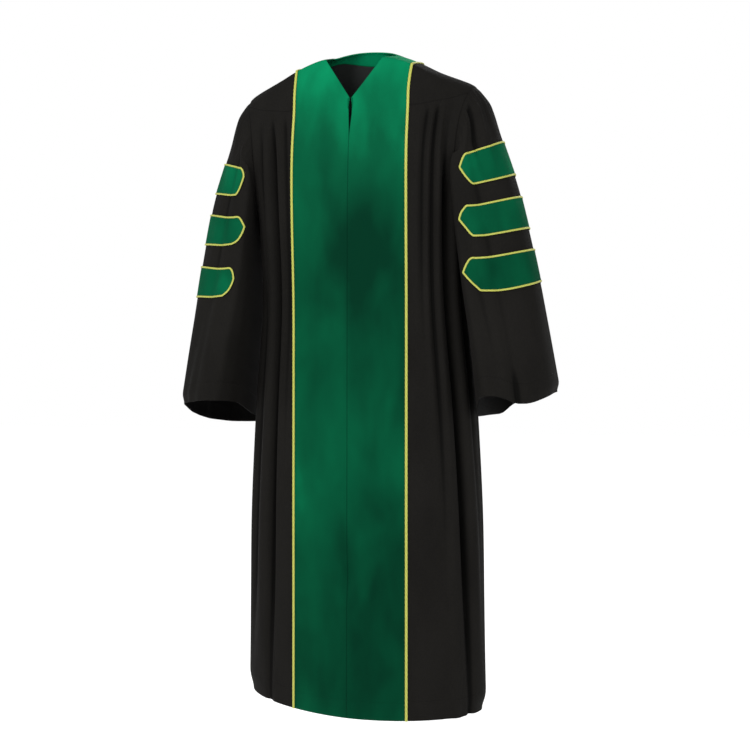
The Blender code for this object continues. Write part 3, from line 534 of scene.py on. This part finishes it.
class Wire:
    def __init__(self, tree, socket=None):
        self.tree = tree
        self.socket = socket

    def node(self, kind, settings, sockets, out=0):
        made = self.tree.nodes.new(kind)
        for name, value in settings.items():
            if name == "stops":
                while len(made.color_ramp.elements) < len(value):
                    made.color_ramp.elements.new(0.5)
                for stop, (place, colour) in zip(made.color_ramp.elements, value):
                    stop.position, stop.color = place, (*colour, 1)
            else:
                setattr(made, name, value)
        for name, value in sockets.items():
            if isinstance(value, Wire):
                self.tree.links.new(value.socket, made.inputs[name])
            else:
                made.inputs[name].default_value = value
        return Wire(self.tree, made.outputs[out])

    def math(self, operation, a, b=0.0):
        return self.node("ShaderNodeMath", {"operation": operation}, {0: a, 1: b})

    def __add__(self, other): return self.math("ADD", self, other)
    def __radd__(self, other): return self.math("ADD", other, self)
    def __sub__(self, other): return self.math("SUBTRACT", self, other)
    def __rsub__(self, other): return self.math("SUBTRACT", other, self)
    def __mul__(self, other): return self.math("MULTIPLY", self, other)
    def __rmul__(self, other): return self.math("MULTIPLY", other, self)
    def __truediv__(self, other): return self.math("DIVIDE", self, other)
    def __abs__(self): return self.math("ABSOLUTE", self)

    def sine(self):
        return self.math("SINE", self)

    def between(self, low, high):  # 0 at low, 1 at high, smooth
        return self.node("ShaderNodeMapRange", {"interpolation_type": "SMOOTHSTEP"},
                         {"Value": self, "From Min": low, "From Max": high})

    def spot(self, centre, radius):  # 1 within a band round the centre, fading to 0
        return 1 - abs(self - centre).between(0.0, radius)

    def parts(self):
        split = self.node("ShaderNodeSeparateXYZ", {}, {0: self})
        return [Wire(self.tree, split.socket.node.outputs[k]) for k in range(3)]

    def ramp(self, stops):
        return self.node("ShaderNodeValToRGB", {"stops": stops}, {0: self})

    def split(self):  # brightness of a grey colour
        return self.node("ShaderNodeSeparateColor", {}, {0: self})

    def mix(self, a, b):  # self is the factor, a and b are colours
        return self.node("ShaderNodeMix", {"data_type": "RGBA"}, {0: self, 6: a, 7: b}, 2)

    def noise(self, scale, detail=2.0, rough=0.5, distortion=0.0):
        return self.node("ShaderNodeTexNoise", {}, {"Vector": self, "Scale": scale, "Detail": detail,
                                                    "Roughness": rough, "Distortion": distortion})

    def stretched(self, size):
        return self.node("ShaderNodeVectorMath", {"operation": "MULTIPLY"}, {0: self, 1: size})

    def bump(self, strength, distance, below=None):
        sockets = {"Strength": strength, "Distance": distance, "Height": self}
        if below is not None:
            sockets["Normal"] = below
        return self.node("ShaderNodeBump", {}, sockets)


def newMaterial(name, settings):
    made = bpy.data.materials.new(name)
    made.use_nodes = True
    tree = made.node_tree
    shader = tree.nodes["Principled BSDF"]
    for socket, value in settings.items():
        shader.inputs[socket].default_value = value
    start = Wire(tree)
    place = start.node("ShaderNodeAttribute", {"attribute_name": "cloth"}, {}, "Vector")
    edges = start.node("ShaderNodeAttribute", {"attribute_name": "edges"}, {}, "Vector")
    spot = start.node("ShaderNodeTexCoord", {}, {}, "Object")
    return made, shader, place, edges, spot


def plug(shader, socket, wire):
    wire.tree.links.new(wire.socket, shader.inputs[socket])


sewing = {"pitch": 0.0028, "width": 0.0007}


def stitches(along, distance, place):  # dashes along a line at a distance from an edge
    dash = (along * (2 * pi / sewing["pitch"])).sine().between(-0.5, 0.1)
    return distance.spot(place, sewing["width"]) * dash


blackLook = {
    "colour": (0.006, 0.0056, 0.005),
    "lighter": (0.0105, 0.0098, 0.0088),
    # a paler colour for the inside of the body: painted light
    "bodyInsidePaintedLight": (0.024, 0.026, 0.025),
    "twillPitch": 0.0012,
    "hemStitch": 0.038,
    # the colour of the dark seams, and of the painted shade in fold troughs and inside the sleeves
    "seamAndShadeColour": (0.0015, 0.0015, 0.0014),
    "settings": {"Roughness": 0.72, "Specular IOR Level": 0.03, "Sheen Weight": 0.008,
                 "Sheen Roughness": 0.45, "Sheen Tint": (0.75, 0.74, 0.78, 1)},
}


def makeBlackCloth():
    look = blackLook
    made, shader, place, edges, spot = newMaterial("blackCloth", look["settings"])
    u, v, inside = place.parts()
    seam, hem, hollow = edges.parts()
    cloudy = spot.stretched((1, 1, 0.45)).noise(9.0, 3.0, 0.55)
    fine = spot.noise(420.0, 2.0, 0.6)
    patchy = cloudy.between(0.3, 0.7) * 0.55 + fine.between(0.3, 0.75) * 0.45
    colour = patchy.mix((*look["colour"], 1), (*look["lighter"], 1))
    # darker at the seams from wear; darker in the fold troughs and on the inside of the sleeves is painted
    # shade
    darkening = seam.between(0.0016, 0.0) * 0.3 + hollow.between(0.1, 0.8) * 0.7 + inside.between(0.0, 1.0) * 0.8
    # the inside of the body gets the paler colour: painted light
    colour = inside.between(0.0, -1.0).mix(colour, (*look["bodyInsidePaintedLight"], 1))
    plug(shader, "Base Color", darkening.mix(colour, (*look["seamAndShadeColour"], 1)))
    plug(shader, "Roughness", 0.66 + cloudy * 0.14)
    twill = ((u + v * 0.8) * (2 * pi / look["twillPitch"])).sine() * 0.5 + 0.5
    threads = (u * (2 * pi / 0.0005)).sine() * 0.15
    thread = stitches(u, hem, look["hemStitch"])
    groove = seam.spot(0.0, 0.0022) + hem.spot(look["hemStitch"], 0.0016)
    weave = (twill + threads + fine * 0.5).bump(0.35, 0.0004)
    crease = (spot.stretched((1, 1, 0.3)).noise(22.0, 3.0, 0.55, 0.4) * 0.8
              + spot.stretched((1.0, 1.0, 0.5)).noise(70.0, 2.0, 0.5) * 0.2).bump(0.5, 0.0022, weave)
    plug(shader, "Normal", (thread * 0.6 - groove).bump(0.7, 0.0009, crease))
    return made


velvetLook = {
    "dark": (0.0004, 0.024, 0.011),
    "middle": (0.0008, 0.072, 0.03),
    "bright": (0.0012, 0.26, 0.105),
    "paintedLightByHeight": (  # painted light by height, from the hem at 0 to the shoulder at 1: brightest on the shoulders, where light falls from above, with lighter and darker bands lower down
        (0.0, 0.25), (0.13, 0.19), (0.35, 0.38), (0.47, 0.33),
        (0.59, 0.20), (0.76, 0.32), (0.86, 0.56), (1.0, 0.80),
    ),
    "bottom": -1.33,
    "length": 1.36,
    "napStrength": 0.62,
    "middleShade": 0.16,  # darker beside the front edge, below the chest
    "sideShade": 0.13,  # darker on the wearer's left from the waist down
    "notchShade": 0.15,  # painted shade in the soft dent above the knees
    "hemStitch": 0.034,
    "settings": {"Roughness": 0.62, "Specular IOR Level": 0.02, "Sheen Weight": 0.025,
                 "Sheen Roughness": 0.35, "Sheen Tint": (0.0, 0.75, 0.35, 1)},
}


def makeVelvet(name, look):
    made, shader, place, edges, spot = newMaterial(name, look["settings"])
    u, v, _ = place.parts()
    seam, hem, _ = edges.parts()
    x, _, z = spot.parts()
    nap = spot.stretched((1, 1, 0.45)).noise(13.0, 2.0, 0.45, 0.3)
    small = spot.stretched((1, 1, 0.35)).noise(52.0, 3.0, 0.55, 0.2)
    pile = spot.noise(900.0, 2.0, 0.7)
    height = (z - look["bottom"]) / look["length"]
    # painted light: the velvet's brightness set by height
    lightByHeight = height.ramp([(at, (value, value, value)) for at, value in look["paintedLightByHeight"]]).split()
    # painted shade in the dent above the knees
    notch = x.spot(-0.008, 0.035) * z.spot(-0.99, 0.10)
    farSide = x.between(-0.03, 0.05) * z.between(-0.25, -0.45)
    nearMiddle = (1 - abs(x).between(0.02, 0.10)) * z.spot(-0.34, 0.26)
    shade = lightByHeight + (nap - 0.5) * look["napStrength"] + (small - 0.5) * 0.10 + (pile - 0.5) * 0.10
    shade = shade - nearMiddle * look["middleShade"] - farSide * look["sideShade"]
    shade = shade - notch * look["notchShade"]
    colour = shade.ramp(((0.0, look["dark"]), (0.42, look["middle"]), (1.0, look["bright"])))
    darkening = seam.between(0.0014, 0.0) * 0.45
    plug(shader, "Base Color", darkening.mix(colour, (0.0, 0.012, 0.006, 1)))
    plug(shader, "Roughness", 0.74 - nap * 0.16)
    thread = stitches(v, seam, 0.005) + stitches(u, hem, look["hemStitch"])
    groove = seam.spot(0.0, 0.0024) + hem.spot(look["hemStitch"], 0.0016)
    tufts = (pile + small * 0.6).bump(0.45, 0.0006)
    soft = nap.bump(0.35, 0.004, tufts)
    plug(shader, "Normal", (thread * 0.4 - groove).bump(0.6, 0.0008, soft))
    return made


goldLook = {
    "colour": (0.46, 0.47, 0.085),
    # the darker colour, for the painted shade in the twist's grooves and for dirt
    "shade": (0.26, 0.27, 0.035),
    "settings": {"Roughness": 0.42, "Specular IOR Level": 0.35, "Sheen Weight": 0.1,
                 "Sheen Roughness": 0.3, "Sheen Tint": (1, 0.95, 0.45, 1)},
}


def makeGold():
    made, shader, place, _, spot = newMaterial("goldCord", goldLook["settings"])
    u, v, ridge = place.parts()
    dirt = spot.noise(160.0, 2.0, 0.6)
    strand = (v * (2 * pi / 0.00045) + u * 900).sine() * 0.5 + 0.5
    # darker in the twist's grooves (painted shade), with random dirt and the strands' lines
    grooveShadeAndDirt = (1 - ridge) * 0.5 + dirt.between(0.45, 0.75) * 0.2 + strand * 0.12
    plug(shader, "Base Color", grooveShadeAndDirt.mix((*goldLook["colour"], 1), (*goldLook["shade"], 1)))
    plug(shader, "Roughness", 0.38 + dirt * 0.2)
    plug(shader, "Normal", (strand + ridge).bump(0.4, 0.0003))
    return made


def makeTape():
    settings = {"Roughness": 0.7, "Specular IOR Level": 0.3}
    made, shader, place, _, _ = newMaterial("closureTape", settings)
    u, v, _ = place.parts()
    rib = (abs(u - 0.015) * (2 * pi / 0.0012) + v * (2 * pi / 0.0012)).sine() * 0.5 + 0.5
    plug(shader, "Base Color", rib.mix((0.006, 0.006, 0.0065, 1), (0.013, 0.013, 0.014, 1)))
    plug(shader, "Normal", rib.bump(0.5, 0.0004))
    return made


print("materials")
blackCloth = makeBlackCloth()
greenVelvet = makeVelvet("greenVelvet", velvetLook)
barLook = {**velvetLook, "paintedLightByHeight": ((0.0, 0.40), (1.0, 0.40)), "hemStitch": 9.0}
barVelvet = makeVelvet("barVelvet", barLook)
goldCord = makeGold()
closureTape = makeTape()


# Making meshes from grids

def addToScene(name, data):
    made = bpy.data.objects.new(name, data)
    bpy.context.scene.collection.objects.link(made)
    return made


def makeObject(name, points, faces, material, attributes, sharpAngle=55):
    mesh = bpy.data.meshes.new(name)
    mesh.from_pydata(points.tolist(), [], faces.tolist())
    mesh.shade_smooth()
    mesh.set_sharp_from_angle(angle=radians(sharpAngle))
    for label, values in attributes.items():
        layer = mesh.attributes.new(label, "FLOAT_VECTOR", "POINT")
        layer.data.foreach_set("vector", np.asarray(values, np.float32).ravel())
    mesh.materials.append(material)
    return addToScene(name, mesh)


def gridFaces(rows, columns, closed):
    i, j = np.meshgrid(np.arange(rows - 1), np.arange(columns if closed else columns - 1), indexing="ij")
    k = (j + 1) % columns
    corners = [i * columns + j, i * columns + k, (i + 1) * columns + k, (i + 1) * columns + j]
    return np.stack(corners, axis=-1).reshape(-1, 4)


def rimFaces(rows, columns, closed):  # the loops of edge points, each walked with the cloth on one side
    top = np.arange(columns)
    bottom = (rows - 1) * columns + np.arange(columns)
    if closed:
        return [np.append(top, top[0]), np.append(bottom, bottom[0])[::-1]]
    right = np.arange(rows) * columns + columns - 1
    left = np.arange(rows) * columns
    return [np.concatenate([top, right[1:], bottom[-2::-1], left[-2:0:-1], left[:1]])]


# Each point keeps, for the materials, its way across and down the cloth and which side it is on (cloth),
# and how far it is from a seam and from the hem, and how far into a fold it lies (edges); the black cloth
# paints shade and light into its colour from the fold measure and from the side.
def clothSheet(name, points, normals, wall, material, closed=False, seams=(), hem=False, lift=0.0):
    rows, columns = points.shape[:2]
    across = rowLengths(points)
    down = rowLengths(points.transpose(1, 0, 2)).T
    far = down[-1:] - down
    seam = np.full((rows, columns), 9.0)
    for edge in seams:
        distance = {"top": down, "bottom": far, "first": across, "last": across[:, -1:] - across}[edge]
        seam = np.minimum(seam, distance)
    hemDistance = far if hem else np.full((rows, columns), 9.0)
    outer = points + normals * lift
    inner = points + normals * (lift - wall)
    count = rows * columns
    faces = gridFaces(rows, columns, closed)
    flip = (np.cross(points[1, 0] - points[0, 0], points[0, 1] - points[0, 0]) * normals[0, 0]).sum() < 0
    front = faces if flip else faces[:, ::-1]
    rim = []
    for loop in rimFaces(rows, columns, closed):
        a, b = loop[:-1], loop[1:]
        rim.append(np.stack([a, b, b + count, a + count], axis=-1))
    rim = np.concatenate(rim)
    if flip:
        rim = rim[:, ::-1]
    everything = np.concatenate([front, front[:, ::-1] + count, rim])
    reach = max(int(round(0.016 / np.median(across[rows // 2, -1] / columns))), 1)
    if closed:
        beside = (np.roll(points, reach, axis=1) + np.roll(points, -reach, axis=1)) / 2
    else:
        at = np.arange(columns)
        beside = (points[:, np.maximum(at - reach, 0)] + points[:, np.minimum(at + reach, columns - 1)]) / 2
    hollow = np.clip(((beside - points) * normals).sum(axis=-1) / 0.006, 0, 1)
    place = stack(across, down, 0 * down).reshape(-1, 3)
    edges = stack(seam, hemDistance, hollow).reshape(-1, 3)
    inside = place + np.array([0, 0, 1.0 if closed else -1.0])  # sleeves get painted shade inside, the body a paler colour of painted light
    both = np.concatenate([outer.reshape(-1, 3), inner.reshape(-1, 3)])
    return makeObject(name, both, everything, material,
                      {"cloth": np.concatenate([place, inside]), "edges": np.concatenate([edges, edges])})


def makeCord(name, line, normals, size, closed=False):
    both = resample(np.concatenate([line, normals], axis=1), size["step"], closed)
    line, normals = both[:, :3], unit(both[:, 3:])
    if closed:
        along = unit(np.roll(line, -1, axis=0) - np.roll(line, 1, axis=0))
    else:
        along = unit(np.gradient(line, axis=0))
    across = unit(np.cross(along, normals))
    up = unit(np.cross(across, along))
    sides = size["sides"]
    angle = 2 * pi * np.arange(sides) / sides
    length = np.arange(len(line)) * size["step"]
    ridge = 0.5 + 0.5 * np.cos(3 * angle[None] - length[:, None] * 2 * pi / size["twist"])
    scale = 1 - size["relief"] * (1 - ridge)
    wide = (size["halfWidth"] * np.cos(angle)[None] * scale)[..., None]
    high = (size["halfHeight"] * np.sin(angle)[None] * scale)[..., None]
    points = (line + normals * size["lift"])[:, None] + across[:, None] * wide + up[:, None] * high
    count = len(line)
    loops = np.arange(count if closed else count - 1)
    i, j = np.meshgrid(loops, np.arange(sides), indexing="ij")
    n, k = (i + 1) % count, (j + 1) % sides
    faces = np.stack([i * sides + j, i * sides + k, n * sides + k, n * sides + j], axis=-1).reshape(-1, 4)
    flat = points.reshape(-1, 3)
    place = stack(length[:, None], angle[None] * size["halfWidth"], ridge).reshape(-1, 3)
    if not closed:  # ends closed by a fan round a middle point
        flat = np.concatenate([flat, points[:1].mean(axis=1), points[-1:].mean(axis=1)])
        place = np.concatenate([place, place[:1], place[-1:]])
        start, end = len(flat) - 2, len(flat) - 1
        k = np.arange(sides)
        faces = [list(face) for face in faces]
        faces += [[start, (j + 1) % sides, j] for j in k]
        faces += [[end, (count - 1) * sides + j, (count - 1) * sides + (j + 1) % sides] for j in k]
        faces = np.array(faces, dtype=object)
    return makeObject(name, flat, faces, goldCord, {"cloth": place, "edges": 0 * place + 9}, 80)


pieces = {}


def carry(piece, node):
    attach(piece, "root")
    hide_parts(node)
    pieces[node] = piece


# The gown

print("panels")
grids = {}
for side in ("left", "right"):
    grids["velvet_" + side] = velvetGrid(side)
    grids["front_" + side] = panelGrid(side, True)
    grids["sleeve_" + side] = sleeveGrid(side)
backLeft, backRight = panelGrid("left", False), panelGrid("right", False)
grids["back"] = np.concatenate([backRight[:, ::-1], backLeft[:, 1:]], axis=1)
yokeLeft = yokeGrid("left", grids["front_left"][0], backLeft[0])
yokeRight = yokeGrid("right", grids["front_right"][0], backRight[0])
grids["yoke"] = np.concatenate([yokeRight, yokeLeft[-2::-1]])
grids["neck_band"] = bandGrid()
grids = {name: settle(points) for name, points in grids.items()}

normals = {}
for name, points in grids.items():
    closed = name.startswith("sleeve")
    found = gridNormals(points, closed)
    if closed:
        centre = points.mean(axis=1, keepdims=True)
    else:
        centre = np.zeros_like(points)
        centre[..., 2] = np.minimum(points[..., 2], -0.30)
    normals[name] = found if (found * (points - centre)).sum() > 0 else -found

velvetCut = (("first", "last"), True, 0.0020, (0.125, 1.385), 0.16, "hung", ())
frontCut = (("top", "first", "last"), True, 0.0015, (0.21, 1.24), 0.22, "gathered", ("yoke",))
sheets = {  # seams, has a hem, wall, flat size, area of the cut, how it is held, what holds it
    "velvet_left": velvetCut,
    "velvet_right": velvetCut,
    "front_left": frontCut,
    "front_right": frontCut,
    "back": (("top", "first", "last"), True, 0.0015, (0.66, 1.22), 0.74, "gathered", ("yoke",)),
    "yoke": (("top", "bottom", "first", "last"), False, 0.0015, (0.49, 0.26), 0.105, "draped",
             ("velvet_left", "velvet_right")),
    "neck_band": (("top", "bottom", "last"), False, 0.0020, (0.31, 0.032), None, "stretched", ("yoke",)),
    "sleeve_left": (("top",), True, 0.0015, (0.72, 0.62), 0.335, "gathered", ("yoke", "front_left", "back")),
    "sleeve_right": (("top",), True, 0.0015, (0.72, 0.65), 0.345, "gathered",
                     ("yoke", "front_right", "back")),
}
for name, (seams, hem, wall, flat, area, held, rests) in sheets.items():
    velvet = name.startswith(("velvet", "neck"))
    material, slotName = (greenVelvet, "green_velvet") if velvet else (blackCloth, "black_cloth")
    piece = clothSheet("cloth_" + name, grids[name], normals[name], wall, material,
                       name.startswith("sleeve"), seams, hem)
    carry(piece, name)


print("gold cords")
frontCord = {"halfWidth": 0.0028, "halfHeight": 0.0016, "step": 0.0012, "sides": 12, "twist": 0.009,
             "relief": 0.13, "lift": 0.0014}
barCord = {**frontCord, "halfWidth": 0.0020, "halfHeight": 0.0012, "sides": 10, "twist": 0.0075,
           "lift": 0.0022}
trimOf = {"velvet_left": "piping_left", "velvet_right": "piping_right", "neck_band": "piping_neck"}
for edge, name in trimOf.items():
    carry(makeCord("cord_" + name, grids[edge][:, -1], normals[edge][:, -1], frontCord), name)


print("sleeve bars")
sleeveBars = {
    "edges": {  # heights of each bar's top and bottom at the sleeve's outer side
        "left": ((-0.184, -0.249), (-0.295, -0.356), (-0.399, -0.459)),
        "right": ((-0.203, -0.264), (-0.309, -0.370), (-0.417, -0.476)),
    },
    "front": {  # turn and height of each bar's top corner, tip and bottom corner
        "left": (
            ((67, -0.192), (82, -0.22), (67, -0.258)),
            ((81.5, -0.297), (96.5, -0.318), (79, -0.358)),
            ((87, -0.4), (103.5, -0.42), (84, -0.465)),
        ),
        "right": (
            ((76, -0.191), (90, -0.213), (78, -0.254)),
            ((94.5, -0.297), (106.5, -0.299), (85.5, -0.356)),
            ((88, -0.406), (98.5, -0.424), (82.5, -0.464)),
        ),
    },
    "back": (71, 92, 71),
    "bendsFrom": {"left": -6.0, "right": 23.0},
    "bow": {"left": 0.006, "right": 0.001},
    "soften": {"left": 0.28, "right": 0.75},  # how round the tips are
    "wall": 0.0016,
    "lift": 0.0019,
    "cut": (0.29, 0.066),
}


def barTip(top, tip, bottom, b, soften):  # how far a bar's end reaches at a place down it
    q = np.abs(2 * b - 1)
    corner = np.where(b < 0.5, top, bottom)
    return corner + (tip - corner) * ((1 - soften) * (1 - q) + soften * np.sqrt(np.maximum(1 - q * q, 0)))


def barGrid(side, number, columns=64, rows=26):
    top, bottom = sleeveBars["edges"][side][number]
    topCorner, tip, bottomCorner = sleeveBars["front"][side][number]
    a = np.linspace(0, 1, columns + 1)[None]
    b = (1 - np.cos(pi * np.linspace(0, 1, rows + 1)[:, None])) / 2
    soften, bendsFrom = sleeveBars["soften"][side], sleeveBars["bendsFrom"][side]
    frontEnd = barTip(topCorner[0], tip[0], bottomCorner[0], b, soften)
    backEnd = barTip(*sleeveBars["back"], b, soften)
    turn = -backEnd + (backEnd + frontEnd) * a
    level = top + (bottom - top) * b
    frontLevel = np.interp(b, (0, 0.5, 1), (topCorner[1], tip[1], bottomCorner[1]))
    part = np.clip((turn - bendsFrom) / (frontEnd - bendsFrom), 0, 1)
    outer = level + (frontLevel - level) * part - sleeveBars["bow"][side] * 4 * part * (1 - part)
    here = settle(sleevePoint(side, turn, outer))

    def step(turnBy, heightBy):  # from just before the point to just after it
        after = settle(sleevePoint(side, turn + turnBy, outer - heightBy))
        return after - settle(sleevePoint(side, turn - turnBy, outer + heightBy))

    acrossStep, downStep = step(0.3, 0.0), step(0.0, 0.001)
    outward = unit(np.cross(downStep, acrossStep))
    middle = np.array([0.29 if side == "left" else -0.29, 0.0, 0.0])
    if (outward * (here - middle) * np.array([1, 1, 0])).sum() < 0:
        outward = -outward
    return here, outward


def outline(grid):  # once round the edge
    return np.concatenate([grid[0], grid[1:, -1], grid[-1, -2::-1], grid[-2:0:-1, 0]])


for side in ("left", "right"):
    for number in range(3):
        name = f"bar_{side}_{number + 1}"
        points, outward = barGrid(side, number)
        piece = clothSheet("cloth_" + name, points, outward, sleeveBars["wall"], barVelvet,
                           seams=("top", "bottom", "first", "last"), lift=sleeveBars["lift"])
        carry(piece, name)
        name = f"bar_piping_{side}_{number + 1}"
        cord = makeCord("cord_" + name, outline(points), outline(outward), barCord, closed=True)
        carry(cord, name)


print("closure tape")
tapePiece = {
    "top": -0.20,
    "bottom": -1.04,
    "besideRight": (5, 2),  # columns of the velvet behind which it lies, with the front edge between
    "besideLeft": (2, 5),
    "wall": 0.0010,
    "lift": -0.0025,
    "cut": (0.03, 0.84),
}
frontEdge = grids["velvet_left"][:, 0]
keep = (frontEdge[:, 2] < tapePiece["top"]) & (frontEdge[:, 2] > tapePiece["bottom"])


def tapeColumns(source, middle):
    rightColumns = [source["velvet_right"][keep, column] for column in tapePiece["besideRight"]]
    leftColumns = [source["velvet_left"][keep, column] for column in tapePiece["besideLeft"]]
    return np.stack([*rightColumns, middle, *leftColumns], axis=1)


tape = tapeColumns(grids, (frontEdge[keep] + grids["velvet_right"][keep, 0]) / 2)
tapeNormals = tapeColumns(normals, unit(normals["velvet_left"][keep, 0] + normals["velvet_right"][keep, 0]))
piece = clothSheet("cloth_closure_tape", tape, tapeNormals, tapePiece["wall"], closureTape,
                   lift=tapePiece["lift"])
carry(piece, "closure_tape")


# Each sheet's trim cords are looked up; nothing more is done with them

print("sheets")
for name, (_, _, _, flat, area, held, rests) in sheets.items():
    trims = [pieces[trimOf[name]]] if name in trimOf else []


# Floor, light and camera

print("studio")
studio = {
    "floorHeight": -1.50,
    "floorHalfSize": 14,
    "floor": {"Base Color": (0.86, 0.86, 0.86, 1), "Roughness": 0.9,
              "Emission Color": (1, 1, 1, 1), "Emission Strength": 0.48},
    "skyForLight": 0.62,
    "skyForCamera": 1.0,
    "lights": {  # place, aim, size and power
        "keyLight": ((-1.2, -2.8, 1.6), (0, 0, -0.4), 1.6, 84),
        "fillLight": ((2.6, -2.0, 0.4), (0, 0, -0.7), 1.8, 35),
        "backLight": ((0.6, 2.8, 1.8), (0, 0, -0.5), 1.6, 22),
    },
}


def makeFloor():
    mesh = bpy.data.meshes.new("studioFloor")
    size, z = studio["floorHalfSize"], studio["floorHeight"]
    corners = [(-size, -size, z), (size, -size, z), (size, size, z), (-size, size, z)]
    mesh.from_pydata(corners, [], [(0, 1, 2, 3)])
    mesh.materials.append(newMaterial("paleFloor", studio["floor"])[0])
    addToScene("studioFloor", mesh)


def makeLight(name, place, aim, size, power):
    lamp = bpy.data.lights.new(name, "AREA")
    lamp.shape, lamp.size, lamp.energy = "SQUARE", size, power
    made = addToScene(name, lamp)
    made.location = place
    direction = np.array(aim) - np.array(place)
    tilt = np.arccos(-direction[2] / np.linalg.norm(direction))
    made.rotation_euler = (float(tilt), 0, float(np.arctan2(-direction[0], direction[1])))


makeFloor()
scene = bpy.context.scene
world = scene.world = scene.world or bpy.data.worlds.new("studioWorld")
world.use_nodes = True
sky = Wire(world.node_tree)
seen = sky.node("ShaderNodeLightPath", {}, {}, "Is Camera Ray")
background = world.node_tree.nodes["Background"]
background.inputs[0].default_value = (1, 1, 1, 1)
brightness = seen * (studio["skyForCamera"] - studio["skyForLight"]) + studio["skyForLight"]
world.node_tree.links.new(brightness.socket, background.inputs[1])
scene.view_settings.view_transform = "Standard"
for name, values in studio["lights"].items():
    makeLight(name, *values)

viewpoint = {"yaw": 17.0, "distance": 2.3, "height": -0.646, "lens": 53.875, "shift": 10 / 750}
camera = bpy.data.cameras.new("photoCamera")
camera.lens, camera.sensor_width, camera.shift_x = viewpoint["lens"], 36, viewpoint["shift"]
cameraObject = addToScene("photoCamera", camera)
yaw = radians(viewpoint["yaw"])
away = viewpoint["distance"]
cameraObject.location = (away * sin(yaw), -away * cos(yaw), viewpoint["height"])
cameraObject.rotation_euler = (pi / 2, 0, yaw)
scene.camera = cameraObject
